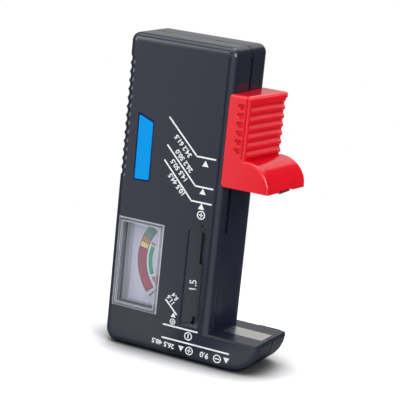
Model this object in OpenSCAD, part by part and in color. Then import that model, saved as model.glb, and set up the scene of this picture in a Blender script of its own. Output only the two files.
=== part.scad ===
// Hand-held battery tester: a flat case with a side cradle, a sliding upper contact and a small
// moving-coil meter. Millimetres, +Z up along the case, the front faces -Y, the cradle is on +X.
// Drawn from the case's left front edge and moved to the middle of the base by place().

/* [Case] */
// overall width, case and foot together
overall_w = 60; // [50:0.5:75]
// overall depth, front of the meter cover to the back of the case
depth = 25; // [22:0.5:32]
// overall height
body_h = 110; // [100:0.5:130]
// width of the case without the foot
body_w = 41; // [38:0.5:50]
// depth of the front half of the case, face to parting line
front_half_d = 12; // [10:0.5:15]
// radius of the long rounded edges
edge_r = 3; // [2:0.25:4]
// radius of the lower left corner, seen from the front
heel_r = 5; // [3.5:0.25:8]
// case wall
wall = 2; // [1.5:0.1:3]
// inside face of the thick wall that carries the slide
slide_wall_x = 36; // [33:0.5:45]
// width of the shadow groove along the parting line
seam_w = 0.5; // [0.2:0.1:1]
// depth of the shadow groove along the parting line
seam_d = 0.35; // [0.2:0.05:0.8]

/* [Foot and cradle] */
// height of the foot that the cell stands on
jaw_z = 11.3; // [9:0.1:14]
// small chamfer on the foot's top edges
foot_chamfer = 0.6; // [0.3:0.1:1]
// radius of the cell cradle in the side of the case
cradle_r = 13.5; // [11:0.5:18]
// depth of the cradle
cradle_depth = 3; // [1:0.25:3.5]
// top of the cradle
cradle_top = 78; // [70:1:90]

/* [Side grip] */
// number of finger scallops down the left side
grip_count = 14; // [8:1:18]
// first scallop, measured up the case
grip_z0 = 61.3; // [50:0.1:70]
// spacing of the scallops
grip_pitch = 3.03; // [2.5:0.01:4]
// depth of a scallop
grip_depth = 0.45; // [0.2:0.05:0.7]
// radius of a scallop
grip_cut_r = 2.2; // [1.6:0.1:4]

/* [Meter] */
// left edge of the meter window
win_x0 = 2.3; // [2:0.1:4]
// right edge of the meter window
win_x1 = 20.3; // [18:0.1:24]
// lower edge of the meter window
win_z0 = 13.8; // [12:0.1:18]
// upper edge of the meter window
win_z1 = 46; // [40:0.1:52]
// how far the clear cover stands in front of the case
cover_proud = 0.5; // [0.2:0.1:1]
// clear cover wall
cover_wall = 0.9; // [0.7:0.05:1.2]
// clearance around the clear cover
cover_gap = 0.1; // [0.05:0.05:0.3]
// bevel around the clear cover's front
cover_bevel = 0.45; // [0.2:0.05:0.8]
// pointer axis, across
pivot_x = 27.6; // [25:0.1:30]
// pointer axis, up
pivot_z = 32; // [28:0.1:36]
// face of the scale plate, behind the case's front face
plate_y = 5; // [4:0.1:7]
// scale plate thickness
plate_t = 0.4; // [0.3:0.1:0.8]
// pointer tip radius
pointer_r = 18.4; // [15:0.1:20]
// pointer rest angle below level
pointer_rest = 46; // [30:1:55]
// depth of the meter frame behind the scale plate
frame_depth = 12.6; // [11.5:0.1:13]
// pointer shaft radius
shaft_r = 0.5; // [0.4:0.05:0.8]
// running clearance on the pointer shaft
shaft_gap = 0.05; // [0.02:0.01:0.1]
// magnet core radius
core_r = 4; // [3:0.1:4.5]
// inner radius of the iron ring
ring_ri = 6; // [5.5:0.1:6.5]
// outer radius of the iron ring
ring_ro = 7; // [6.8:0.1:7.4]

/* [Slide] */
// bottom of the slide with a 50 mm cell in place
slide_z0 = 63.5; // [60:0.1:70]
// height of the slide
slide_h = 31.5; // [26:0.5:36]
// width of the finger part at the front, from the case
grip_w = 5.9; // [4:0.1:8]
// angle by which the finger part widens to the back
slide_taper = 6.8; // [0:0.1:12]
// angle by which the toe widens to the back
toe_taper = 5.9; // [0:0.1:10]
// radius of the toe that carries the upper contact
toe_r = 9.9; // [8:0.1:10]
// radius of the toe's front edge
toe_edge = 1; // [0.5:0.1:1.5]
// width of the rim round the toe's front
toe_rim_w = 2.4; // [2:0.1:4]
// height of the rim round the toe's front
toe_rim_h = 0.25; // [0.1:0.05:0.5]
// radius of the slide's upper edges and left corners
slide_edge = 1.2; // [0.6:0.1:1.6]
// radius of the slide's rear corners
slide_back_r = 0.8; // [0.4:0.1:1.8]
// height of the cap on the finger part
cap_h = 2; // [1.4:0.1:3]
// how far the cap stands out from the finger part
cap_proud = 0.5; // [0.2:0.05:0.8]
// radius of the bead down the slide's front edge
bead_r = 0.6; // [0.4:0.05:0.6]
// depth of the slide, front to back
slide_d = 24.2; // [20:0.1:25]
// overlap of the slide's lips on the case's rounded edge
lip_x = 39.9; // [39:0.1:40.5]
// clearance between slide and case
slide_gap = 0.3; // [0.2:0.05:0.5]
// number of finger ribs
rib_count = 7; // [4:1:9]
// spacing of the finger ribs
rib_pitch = 2.97; // [2:0.01:4]
// first finger groove, below the top of the slide
rib_top = 4.2; // [3.5:0.1:6]
// depth of the grooves between the finger ribs
rib_depth = 0.9; // [0.4:0.1:1.2]
// radius of the grooves between the finger ribs
groove_r = 1.1; // [0.8:0.05:1.4]
// height of the pockets in the slide's front
pocket_h = 1.8; // [1.2:0.1:2.2]
// width of the pockets in the slide's front
pocket_w = 3.3; // [2.4:0.1:4]
// depth of the pockets in the slide's front
pocket_d = 1.1; // [0.6:0.1:1.5]
// width of the slot in the case's side
slot_w = 1.6; // [1.2:0.1:2.4]
// top of the slot in the case's side, below the top of the case
slot_top_inset = 3.9; // [3:0.1:12]
// lower end of the slot in the case's side
slot_z0 = 44.5; // [40:0.1:60]
// clearance of the slide's web in the slot, each side
web_gap = 0.1; // [0.05:0.05:0.2]
// gap from the foot's contact to the slide's contact at rest
cell_gap = 50.5; // [44:0.1:52]

/* [Contacts] */
// width of the foot and slide contacts
strip_w = 8.4; // [6:0.1:10]
// sheet thickness of the contacts
strip_t = 0.5; // [0.3:0.05:0.8]
// spacing of the two end contacts
end_pitch = 12.5; // [12:0.1:14]
// width of each end contact
end_w = 5.5; // [4:0.1:7]
// clearance of a contact in its recess
strip_gap = 0.1; // [0.05:0.05:0.2]

/* [Button-cell trough] */
// left edge of the trough
trough_x0 = 29.5; // [28:0.1:32]
// right edge of the trough
trough_x1 = 36.6; // [35:0.1:38]
// lower end of the trough
trough_z0 = 12.6; // [12:0.1:20]
// upper end of the trough
trough_z1 = 48; // [40:0.1:50]
// depth of the trough at its right wall
trough_d = 3; // [1.5:0.1:3]
// width of the slot for the upper cell leaf
leaf_slot_w = 2.8; // [1.2:0.1:3.2]
// rise of the trough's upper end from left to right
trough_rise = 2.1; // [0:0.1:3]

/* [Prying notch] */
// left end of the notch in the top of the parting line
notch_x = 26.7; // [10:0.1:32]
// width of the notch
notch_w = 3; // [1.5:0.1:5]
// depth of the notch
notch_d = 0.9; // [0.5:0.1:1.5]

/* [Circuit] */
// width of the circuit board
board_w = 21; // [16:0.5:24]
// height of the circuit board
board_h = 30; // [24:0.5:34]
// circuit board thickness
board_t = 1.6; // [1:0.1:2]
// gap from the meter window up to the circuit board
board_rise = 7; // [4:0.5:12]
// radius of the larger load resistor
resistor_a_r = 2; // [1.5:0.1:2.5]
// length of the larger load resistor
resistor_a_l = 12; // [8:0.5:14]
// radius of the smaller load resistor
resistor_b_r = 1.3; // [1:0.1:1.5]
// length of the smaller load resistor
resistor_b_l = 8; // [6:0.5:12]
// thickness of the brass rail behind the front
rail_t = 0.4; // [0.3:0.05:0.6]

/* [Screws] */
// case screw shank radius
screw_r = 1.1; // [0.9:0.05:1.5]
// case screw head radius
head_r = 2.3; // [2:0.05:3]
// upper case screw, from the left side
screw_top_x = 20.5; // [8:0.5:25]
// upper case screw, below the top of the case
screw_top_inset = 10; // [6:0.5:16]
// lower case screw, from the left side
screw_low_x = 14; // [8:0.5:25]
// lower case screw, above the base
screw_low_z = 8; // [6:0.5:10]

/* [Hidden] */
$fn = 96;
body_d = depth - cover_proud;
mid_y = body_d / 2;
foot_cx = overall_w - jaw_z;
slide_x = body_w + slide_gap;
grip_x = body_w + grip_w;
toe_cx = grip_x + 0.7;
slide_z1 = slide_z0 + slide_h;
contact_z = jaw_z + cell_gap;
slot_y0 = front_half_d - slot_w / 2;
slot_z1 = body_h - slot_top_inset;
web_z0 = slide_z0 + 4;
web_z1 = slide_z1 - 0.4;
frame_y0 = plate_y + plate_t;
frame_back = frame_y0 + frame_depth;
frame_y1 = frame_back + 1.2;
spring_y = frame_y0 + 1.6;
ring_y0 = frame_y0 + 4.1;
core_y1 = frame_back - 1.6;
coil_y0 = spring_y + 0.7;
coil_y1 = frame_back - 0.2;
coil_r = ring_ri - 0.4;
inner_back = body_d - wall;
cradle_cx = body_w - cradle_depth + cradle_r;
screw_top = [screw_top_x, body_h - screw_top_inset];
screw_low = [screw_low_x, screw_low_z];
foot_x0 = body_w + 1.5;
foot_x1 = overall_w - 2.5;
end_ear = 0.4;
end_x1 = foot_cx - end_w / 2 - end_ear - 0.05;
end_x = [end_x1 - end_pitch, end_x1];
frame_x1 = pivot_x + ring_ro + 1.2;
leaf_z0 = trough_z1 - 13.4;
leaf_z1 = trough_z1 - 1.8;
trough_back = trough_d + 1.8;
z_rib = slide_z1 - rib_top;
z_toe = slide_z0 + toe_r;
line_x = grip_x - 0.5;
rail_y = wall + 3.2;
rail_z0 = slide_z0 - 16.5;
rail_z1 = slot_z1 - 1.1;
board_x0 = wall + 2.5;
board_y = front_half_d + 3;
board_z0 = win_z1 + board_rise;
board_holes_x = [board_x0 + 3, board_x0 + board_w - 3];
board_holes_z = [board_z0 + 3, board_z0 + board_h - 3];
e = 0.01;

module place() { translate([-overall_w / 2, -depth / 2 + cover_proud, 0]) children(); }
module along_y(y0, y1) { translate([0, y1, 0]) rotate([90, 0, 0]) linear_extrude(y1 - y0) children(); }
module along_x(x0, x1) {
  translate([x0, 0, 0]) rotate([90, 0, 90]) linear_extrude(x1 - x0) children();
}
module box(a, b) { translate(a) cube([b[0] - a[0], b[1] - a[1], b[2] - a[2]]); }
module pin(x, z, r, y0, y1) { translate([x, y0, z]) rotate([-90, 0, 0]) cylinder(r = r, h = y1 - y0); }
module round_rect(a, b, r) {
  translate([a[0] + r, a[1]]) square([b[0] - a[0] - 2 * r, b[1] - a[1]]);
  translate([a[0], a[1] + r]) square([b[0] - a[0], b[1] - a[1] - 2 * r]);
  for (x = [a[0] + r, b[0] - r], y = [a[1] + r, b[1] - r]) translate([x, y]) circle(r);
}

// ---- the case's outer form -----------------------------------------------------------------
module side_slice(x0, x1) {
  intersection() {
    round_rect([0, 0], [body_w, body_d], edge_r);
    translate([x0, -1]) square([x1 - x0, depth + 2]);
  }
}
module quarter_profile(r) {
  intersection() {
    round_rect([-r, 0], [r, body_d], edge_r);
    square([r + 1, body_d]);
  }
}
module main_block() {
  r = edge_r;
  along_x(heel_r, body_w - r) round_rect([0, 0], [body_d, body_h], r);
  along_x(r, heel_r + e) intersection() {
    round_rect([0, 0], [body_d, body_h], r);
    translate([0, heel_r]) square([body_d, body_h]);
  }
  translate([0, 0, heel_r]) linear_extrude(body_h - r - heel_r) side_slice(-1, heel_r);
  translate([0, 0, 1.2 * r]) linear_extrude(body_h - 2.2 * r) side_slice(body_w - 1.5 * r, body_w + 1);
  translate([heel_r, 0, heel_r]) rotate([-90, 0, 0]) rotate([0, 0, 90]) rotate_extrude(angle = 90)
    quarter_profile(heel_r);
  for (x = [r, body_w - r]) {
    pin(x, body_h - r, r, r, body_d - r);
    for (y = [r, body_d - r]) translate([x, y, body_h - r]) sphere(r);
  }
}
module foot_section() {
  intersection() {
    round_rect([0, 0], [body_d, 3 * jaw_z], edge_r);
    polygon([[0, 0], [body_d, 0], [body_d, jaw_z - foot_chamfer], [body_d - foot_chamfer, jaw_z],
      [foot_chamfer, jaw_z], [0, jaw_z - foot_chamfer]]);
  }
}
module foot() {
  along_x(body_w - 2 * edge_r, foot_cx) foot_section();
  difference() {
    translate([foot_cx, 0, jaw_z]) rotate([-90, 0, 0]) rotate_extrude(angle = 90)
      quarter_profile(jaw_z);
    along_y(-1, body_d + 1) polygon([[overall_w - foot_chamfer * 1.6, jaw_z + e],
      [overall_w + 1, jaw_z + e], [overall_w + 1, jaw_z - foot_chamfer * 1.6],
      [overall_w + e, jaw_z - foot_chamfer * 1.6]]);
    for (s = [0, 1]) translate([0, s * body_d, 0]) along_x(foot_cx, overall_w + 1)
      polygon([[-e, jaw_z + e], [-e, jaw_z - foot_chamfer], [s == 0 ? foot_chamfer : -foot_chamfer,
        jaw_z + e]]);
  }
}
module outline(i) {
  difference() {
    round_rect([i, i], [body_w - i, body_h - i], edge_r - i);
    square([heel_r, heel_r]);
  }
  intersection() {
    translate([heel_r, heel_r]) circle(heel_r - i);
    square([heel_r + e, heel_r + e]);
  }
  translate([body_w - 10, i]) square([foot_cx - body_w + 10, jaw_z - 2 * i]);
  intersection() {
    translate([foot_cx, jaw_z]) circle(jaw_z - i);
    translate([foot_cx - e, 0]) square([jaw_z, jaw_z - i]);
  }
}
module seam() {
  difference() {
    box([-1, front_half_d - seam_w / 2, -1], [overall_w + 1, front_half_d + seam_w / 2, body_h + 1]);
    along_y(front_half_d - seam_w, front_half_d + seam_w) outline(seam_d);
  }
}
module cavity() {
  box([wall, wall, wall], [slide_wall_x, inner_back, body_h - wall]);
  box([slide_wall_x - e, wall, wall], [foot_cx, inner_back, jaw_z - wall]);
  intersection() {
    pin(foot_cx, jaw_z, jaw_z - wall, wall, inner_back);
    box([foot_cx - e, wall, 0], [overall_w, inner_back, jaw_z - wall]);
  }
}
module grip_cuts() {
  for (i = [0 : grip_count - 1]) translate([0, 0, grip_z0 + i * grip_pitch]) {
    translate([-grip_cut_r + grip_depth, edge_r, 0]) rotate([-90, 0, 0])
      cylinder(r = grip_cut_r, h = body_d - 2 * edge_r, $fn = 64);
    for (s = [0, 1]) translate([edge_r, s == 0 ? edge_r : body_d - edge_r, 0])
      rotate([0, 0, s == 0 ? 180 : 90]) rotate_extrude(angle = 90, $fn = 64)
        translate([edge_r + grip_cut_r - grip_depth, 0]) circle(grip_cut_r);
  }
}
module cradle() {
  translate([cradle_cx, mid_y, jaw_z]) cylinder(r = cradle_r, h = cradle_top - jaw_z);
}
module slot() {
  box([slide_wall_x - 1, slot_y0, slot_z0], [body_w + 1, slot_y0 + slot_w, slot_z1]);
}
module foot_recess() {
  box([foot_x0 - strip_gap, mid_y - strip_w / 2 - strip_gap, jaw_z - strip_t],
    [foot_x1 + strip_gap, mid_y + strip_w / 2 + strip_gap, jaw_z + 1]);
  box([foot_cx - 0.2, mid_y - 2.2, jaw_z - wall - 1], [foot_cx + 2.8, mid_y + 2.2, jaw_z]);
}
module end_recess() {
  for (x = end_x) box([x - end_w / 2 - strip_gap, mid_y - 4 - strip_gap, -1],
    [x + end_w / 2 + strip_gap, mid_y + 4 + strip_gap, wall + 1]);
}
module screw_cut(p) {
  pin(p[0], p[1], screw_r + 0.05, 4, body_d + 1);
  pin(p[0], p[1], head_r + 0.15, body_d - 2.4, body_d + 1);
}
module case_body() {
  difference() {
    union() { main_block(); foot(); }
    seam();
    grip_cuts();
    cradle();
    slot();
    foot_recess();
    end_recess();
  }
}

// ---- the two halves of the case ----------------------------------------------------------------
module trough_cut() {
  d = trough_d; x1 = trough_x1;
  difference() {
    intersection() {
      translate([0, 0, trough_z0]) linear_extrude(trough_z1 + 1 - trough_z0)
        polygon([[trough_x0, -e], [trough_x0 + 0.35, 0.55], [x1 - 1.8, d - 0.25], [x1 - 0.5, d],
          [x1, d - 0.5], [x1, -e]]);
      // the upper end climbs to the right, up to the leaf's notch
      along_y(-1, d + 1) polygon([[trough_x0 - 1, 0], [x1 + 1, 0], [x1 + 1, leaf_z1],
        [x1 - 1.3, leaf_z1], [x1 - 1.5, trough_z1 + 0.9], [x1 - 2.2, trough_z1 + 0.9],
        [x1 - 2.3, trough_z1 + 0.2], [trough_x0, trough_z1 + 0.2 - trough_rise],
        [trough_x0 - 1, trough_z1 - trough_rise]]);
    }
    // the lower end rises at a slant
    along_x(trough_x0 - 1, x1 + 1)
      polygon([[0, trough_z0 - 1], [4, trough_z0 - 1], [4, trough_z0 + 3.2], [0, trough_z0]]);
  }
  // slot for the upper leaf, and a notch for the lower one
  box([x1 - leaf_slot_w, -e, leaf_z0], [x1, 7, leaf_z1]);
  box([x1 - 3.3, 0.6, trough_z0 + 0.8], [x1 - 2.1, 7, trough_z0 + 3.2]);
}
module front_inside() {
  // backing of the trough
  translate([0, 0, trough_z0 - 1.4]) linear_extrude(trough_z1 - trough_z0 + 2.8)
    polygon([[trough_x0 - 1, wall - e], [trough_x0 + 1.4, wall - e],
      [trough_x1 - 1.6, trough_back], [slide_wall_x + e, trough_back], [slide_wall_x + e, wall - e]]);
  // ledge behind the bus rail
  box([slide_wall_x - 4.8, wall - e, rail_z0 + 3], [slide_wall_x + e, rail_y, slot_z1 - 0.1]);
  // screw bosses
  for (p = [screw_top, screw_low]) pin(p[0], p[1], 2.6, wall - e, front_half_d);
}
module front_shell() {
  color([0.17, 0.17, 0.19]) place() difference() {
    union() {
      difference() {
        intersection() {
          case_body();
          box([-1, -1, -1], [overall_w + 1, front_half_d, body_h + 1]);
        }
        cavity();
        box([win_x0, -1, win_z0], [win_x1, wall + 1, win_z1]);
      }
      difference() {
        front_inside();
        box([wall, wall, win_z0 - 1.3], [win_x1 + 2.2, wall + 2.2, win_z1 + 1.2]);
      }
    }
    trough_cut();
    // notch for prying the halves apart
    box([notch_x, front_half_d - notch_d, body_h - notch_d],
      [notch_x + notch_w, front_half_d + 1, body_h + 1]);
    for (p = [screw_top, screw_low]) screw_cut(p);
    slot();
  }
}
module rear_inside() {
  for (p = [screw_top, screw_low]) pin(p[0], p[1], 3.4, front_half_d, inner_back + e);
  // rests for the meter frame and the board
  for (x = [win_x0 + 4.7, pivot_x + 3.4], z = [win_z0 + 5.2, win_z1 - 5])
    pin(x, z, 1.8, frame_y1, inner_back + e);
  for (x = board_holes_x, z = board_holes_z) pin(x, z, 1.8, board_y + board_t, inner_back + e);
}
module rear_shell() {
  color([0.15, 0.15, 0.17]) place() difference() {
    union() {
      difference() {
        intersection() {
          case_body();
          box([-1, front_half_d, -1], [overall_w + 1, depth + 1, body_h + 1]);
        }
        cavity();
      }
      rear_inside();
    }
    for (p = [screw_top, screw_low]) screw_cut(p);
    slot();
  }
}

// ---- meter -----------------------------------------------------------------------------------
module meter_cover() {
  g = cover_gap;
  x0 = win_x0 + g; x1 = win_x1 - g; z0 = win_z0 + g; z1 = win_z1 - g;
  w = cover_wall; b = cover_bevel;
  color([0.9, 0.92, 0.95, 0.35]) place() difference() {
    union() {
      // bevelled front, two crossed prisms
      intersection() {
        along_x(x0, x1) polygon([[-cover_proud, z0 + b], [-cover_proud + b, z0], [wall, z0],
          [wall, z1], [-cover_proud + b, z1], [-cover_proud, z1 - b]]);
        translate([0, 0, z0]) linear_extrude(z1 - z0)
          polygon([[x0 + b, -cover_proud], [x0, -cover_proud + b], [x0, wall], [x1, wall],
            [x1, -cover_proud + b], [x1 - b, -cover_proud]]);
      }
      // walls down to the frame, and the flange behind the case's front
      box([x0, wall - e, z0], [x0 + w - 0.1, plate_y + 1, z1]);
      box([x0, wall - e, z0], [x1, plate_y + 1, z0 + w]);
      box([x0, wall - e, z1 - w], [x1, plate_y + 1, z1]);
      box([x0, wall, z0 - 1.2], [x1 + 2, wall + 1, z0 + w]);
      box([x0, wall, z1 - w], [x1 + 2, wall + 1, z1 + 1]);
      box([x1 - w, wall - e, z0], [x1, wall + 1, z1]);
      box([x1 - w, wall, z0], [x1 + 2, wall + 1, z1]);
    }
    box([x0 + w, -cover_proud + 1, z0 + w], [x1 - w, plate_y + 2, z1 - w]);
  }
}
module scale_plate() {
  color([0.86, 0.86, 0.92]) place()
    box([win_x0 + 1.1, plate_y, win_z0 + 1.1], [pivot_x - 2.2, plate_y + plate_t, win_z1 - 1.1]);
}
module meter_frame() {
  x0 = win_x0 + 1.1; x1 = frame_x1; z0 = win_z0 + 1.2; z1 = win_z1 - 1.2;
  color([0.2, 0.2, 0.22]) place() difference() {
    union() {
      difference() {
        box([x0, frame_y0, z0], [x1, frame_y1, z1]);
        box([x0 + 1, frame_y0 - 1, z0 + 1], [x1 - 1, frame_back, z1 - 1]);
      }
      box([pivot_x - 2, frame_y0 + 0.2, z0 + e], [pivot_x + 2, frame_y0 + 1.4, z1 - e]);
    }
    pin(pivot_x, pivot_z, 1.3, 0, frame_back + 1);
    pin(pivot_x, pivot_z, 1.3, frame_back - 1, frame_back + 0.7);
  }
}
module iron_ring() {
  color([0.55, 0.55, 0.57]) place() difference() {
    pin(pivot_x, pivot_z, ring_ro, ring_y0, frame_back);
    pin(pivot_x, pivot_z, ring_ri, ring_y0 - 1, frame_back + 1);
    box([pivot_x - 1.3, ring_y0 - 1, pivot_z - 9], [pivot_x + 1.3, ring_y0 + 1.2, pivot_z + 9]);
  }
}
module core_magnet() {
  color([0.35, 0.35, 0.37]) place() difference() {
    pin(pivot_x, pivot_z, core_r, ring_y0 + 1.2, core_y1);
    pin(pivot_x, pivot_z, 0.9, ring_y0, core_y1 + 0.6);
  }
}
module core_bar() {
  color([0.75, 0.75, 0.77]) place() difference() {
    box([pivot_x - 1.2, ring_y0, pivot_z - ring_ro + 0.2],
      [pivot_x + 1.2, ring_y0 + 1.2, pivot_z + ring_ro - 0.2]);
    pin(pivot_x, pivot_z, 0.9, ring_y0 - 1, ring_y0 + 2);
  }
}
// the moving parts are drawn pointing left and turned to their rest angle
module turned() { translate([pivot_x, 0, pivot_z]) rotate([0, -pointer_rest, 0]) children(); }
module pointer() {
  color([0.05, 0.05, 0.05]) place() turned() difference() {
    union() {
      pin(0, 0, 1.15, plate_y - 1.1, plate_y - 0.7);
      along_y(plate_y - 1.1, plate_y - 0.8) polygon([[-0.8, -0.4], [-pointer_r, -0.17],
        [-pointer_r - 0.4, 0], [-pointer_r, 0.17], [-0.8, 0.4]]);
      along_y(plate_y - 1.1, plate_y - 0.8) polygon([[-0.25, -2.4], [0.25, -2.4], [0.25, 2.4],
        [-0.25, 2.4]]);
    }
    pin(0, 0, shaft_r + 0.02, plate_y - 2, plate_y);
  }
}
module moving_coil() {
  color([0.72, 0.42, 0.2]) place() turned() difference() {
    box([-coil_r, coil_y0, -0.8], [coil_r, coil_y1, 0.8]);
    box([1 - coil_r, coil_y0 + 1, -1], [coil_r - 1, coil_y1 - 0.9, 1]);
    pin(0, 0, shaft_r + 0.02, spring_y, frame_back + 1);
  }
}
module pointer_shaft() {
  color([0.75, 0.75, 0.78]) place() pin(pivot_x, pivot_z, shaft_r, plate_y - 1.3, frame_back + 0.6);
}
function spiral(a, off) = let (r = 0.95 + 0.5 * a / 360 + off) [r * cos(a), r * sin(a)];
module hairspring() {
  color([0.75, 0.6, 0.3]) place() turned() {
    along_y(spring_y + 0.05, spring_y + 0.35) polygon(concat([for (a = [0 : 15 : 1080]) spiral(a, 0)],
      [for (a = [1080 : -15 : 0]) spiral(a, 0.14)]));
    difference() {
      pin(0, 0, 1, spring_y, spring_y + 0.4);
      pin(0, 0, shaft_r + 0.02, spring_y - 1, spring_y + 1);
    }
  }
}
module bearing(y0, y1, through) {
  difference() {
    pin(pivot_x, pivot_z, 1.28, y0, y1);
    pin(pivot_x, pivot_z, shaft_r + shaft_gap, y0 - 1, through ? y1 + 1 : y1 - 0.05);
  }
}
module front_bearing() { color([0.8, 0.65, 0.3]) place() bearing(frame_y0 - 0.2, spring_y - 0.1, true); }
module rear_bearing() { color([0.8, 0.65, 0.3]) place() bearing(frame_back, frame_back + 0.7, false); }

// ---- slide ------------------------------------------------------------------------------------
module slide_plan(gx, t, rf, rr) {
  c1 = [gx + (slide_d - rr) * tan(t) - rr / cos(t), slide_d - rr];
  c2 = [gx + rf * tan(t) - rf / cos(t), rf];
  polygon([[lip_x, 0], [c2[0], 0], c2, [c2[0] + rf * cos(t), rf - rf * sin(t)],
    [c1[0] + rr * cos(t), c1[1] - rr * sin(t)], c1, [c1[0], slide_d], [lip_x, slide_d]]);
  translate(c1) circle(rr);
  translate(c2) circle(rf);
}
module side_frame() { translate([grip_x, 0, 0]) rotate([0, 0, -slide_taper]) children(); }
module toe() {
  r = toe_edge;
  // rim round the front, with its rounded edge
  intersection() {
    translate([toe_cx, 0, slide_z0]) rotate([-90, 0, 0]) rotate_extrude() {
      square([toe_r - r, toe_rim_w]);
      translate([0, r]) square([toe_r, toe_rim_w - r]);
      translate([toe_r - r, r]) circle(r);
    }
    box([grip_x - 2, -1, slide_z0], [overall_w + 1, toe_rim_w + 1, z_toe + 1]);
  }
  // rounded body behind it, widening to the back
  intersection() {
    translate([0, 0, slide_z0]) linear_extrude(toe_r + 1)
      slide_plan(toe_cx + toe_r, toe_taper, 0.8, slide_back_r);
    translate([toe_cx, 0, slide_z0]) rotate([0, 0, -toe_taper]) translate([0, -6, 0])
      rotate([-90, 0, 0]) cylinder(r = toe_r - toe_rim_h, h = 40);
    box([grip_x - 2, toe_rim_w - 0.5, slide_z0], [overall_w + 1, depth, z_toe + 1]);
  }
}
module grip_block() {
  r = slide_edge; cap_x = cap_proud * cos(slide_taper);
  intersection() {
    union() {
      translate([0, 0, slide_z0]) linear_extrude(slide_h)
        slide_plan(grip_x, slide_taper, 0.5, slide_back_r);
      translate([0, 0, slide_z1 - cap_h]) linear_extrude(cap_h)
        slide_plan(grip_x + cap_proud, slide_taper, 0.5, slide_back_r);
      translate([grip_x - 0.05, bead_r + 0.05, z_toe - 2])
        cylinder(r = bead_r, h = slide_z1 - z_toe + 2);
    }
    // rounded upper edges, front and back
    along_x(lip_x - 1, overall_w) {
      translate([0, slide_z0]) square([slide_d, slide_h - r]);
      translate([r, slide_z0]) square([slide_d - 2 * r, slide_h]);
      for (y = [r, slide_d - r]) translate([y, slide_z1 - r]) circle(r);
    }
    // rounded corners on the left
    along_y(-1, slide_d + 1) round_rect([lip_x, slide_z0], [overall_w + 10, slide_z1], r);
    // rounded upper edge on the right, parallel to the finger part's side
    side_frame() along_y(-5, slide_d + 10) round_rect([-30, slide_z0 - 10], [cap_x, slide_z1], r);
  }
}
module pocket() {
  r = pocket_h / 2; w = pocket_w; d = pocket_d;
  intersection() {
    union() {
      translate([r - w, -1, 0]) rotate([-90, 0, 0]) cylinder(r = r, h = 3, $fn = 48);
      box([r - w, -1, -r], [0, 2, r]);
    }
    translate([0, 0, -2]) linear_extrude(4)
      polygon([[-w - 1, -1], [0.1, -1], [0.1, 0.1], [r - w, d], [-w - 1, d]]);
  }
}
module slider() {
  color([0.85, 0.06, 0.08]) place() {
    difference() {
      union() {
        difference() {
          grip_block();
          // finger grooves on the side, and the line beside the bead
          side_frame() for (i = [0 : rib_count - 1])
            translate([groove_r - rib_depth, 2.1, z_rib - i * rib_pitch]) rotate([-90, 0, 0])
              cylinder(r = groove_r, h = depth + 10);
          translate([0, 0, z_toe + 0.5]) linear_extrude(slide_z1 - 0.4 - z_toe - 0.5)
            polygon([[line_x - 0.25, -e], [line_x + 0.25, -e], [line_x, 0.45]]);
        }
        toe();
      }
      // the case's side and rounded edges, with clearance
      linear_extrude(body_h) {
        translate([0, edge_r]) square([slide_x, body_d - 2 * edge_r]);
        translate([0, -slide_gap]) square([body_w - edge_r, body_d + 2 * slide_gap]);
        for (y = [edge_r, body_d - edge_r]) translate([body_w - edge_r, y])
          circle(edge_r + slide_gap);
      }
      // scooped pockets on the front, deep at the left
      for (i = [0 : rib_count - 2]) translate([line_x, 0, z_rib - i * rib_pitch + 0.45]) pocket();
      // seat of the contact, hollow of the toe
      box([toe_cx - 4.5, mid_y - strip_w / 2 - strip_gap, slide_z0 - 1],
        [toe_cx + toe_r + 3, mid_y + strip_w / 2 + strip_gap, slide_z0 + strip_t]);
      pin_z(rivet_x, mid_y, 0.75, slide_z0 - 1, slide_z0 + 4);
    }
    // skids on the case's side, and the web through the slot
    for (y = [edge_r + 0.4, body_d - edge_r - 1.4])
      box([body_w, y, slide_z0 + 1], [slide_x + 0.2, y + 1, slide_z1 - 1]);
    difference() {
      box([slide_wall_x - 2.8, slot_y0 + web_gap, web_z0],
        [slide_x + 0.2, slot_y0 + slot_w - web_gap, web_z1]);
      for (z = pin_z_list) pin(pin_x, z, 0.8, 8, 16);
    }
  }
}
pin_x = slide_wall_x - 1.6;
rivet_x = toe_cx + 6.7;
pin_z_list = [slide_z0 + 9, slide_z1 - 5];
module pin_z(x, y, r, z0, z1) { translate([x, y, z0]) cylinder(r = r, h = z1 - z0); }
module slider_contact() {
  t = strip_t; z = slide_z0; c = contact_z;
  color([0.8, 0.8, 0.78]) place() difference() {
    along_y(mid_y - strip_w / 2, mid_y + strip_w / 2)
      translate([toe_cx, 0]) polygon([[8.4, z], [10.3, z - 0.6], [10.3, z - 0.1], [8.7, z + t],
        [4.5, z + t], [1.5, c + t], [-1.1, c + t], [-3.7, z - 0.3], [-4.2, z - 0.6], [-1.3, c],
        [1.7, c], [4.7, z]]);
    pin_z(rivet_x, mid_y, 0.75, z - 1, z + 2);
  }
}
module contact_rivet() {
  color([0.7, 0.7, 0.7]) place() {
    pin_z(rivet_x, mid_y, 0.7, slide_z0 - 0.3, slide_z0 + 3.8);
    pin_z(rivet_x, mid_y, 1.4, slide_z0 - 0.6, slide_z0);
  }
}
module slide_carriage() {
  color([0.8, 0.8, 0.76]) place() difference() {
    box([slide_wall_x - 4.4, front_half_d - 3.5, web_z0 + 2],
      [slide_wall_x - 0.2, front_half_d + 3.5, web_z1 - 2]);
    box([slide_wall_x - 3, slot_y0 + web_gap - 0.05, web_z0],
      [slide_wall_x, slot_y0 + slot_w - web_gap + 0.05, web_z1]);
    for (z = pin_z_list) pin(pin_x, z, 0.8, 0, 20);
  }
}
module carriage_pin(z) {
  color([0.75, 0.75, 0.78]) place() {
    pin(pin_x, z, 0.75, front_half_d - 3.5, front_half_d + 3.5);
    for (y = [front_half_d - 3.9, front_half_d + 3.5]) pin(pin_x, z, 1.3, y, y + 0.4);
  }
}
module carriage_pin_upper() { carriage_pin(pin_z_list[1]); }
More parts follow.
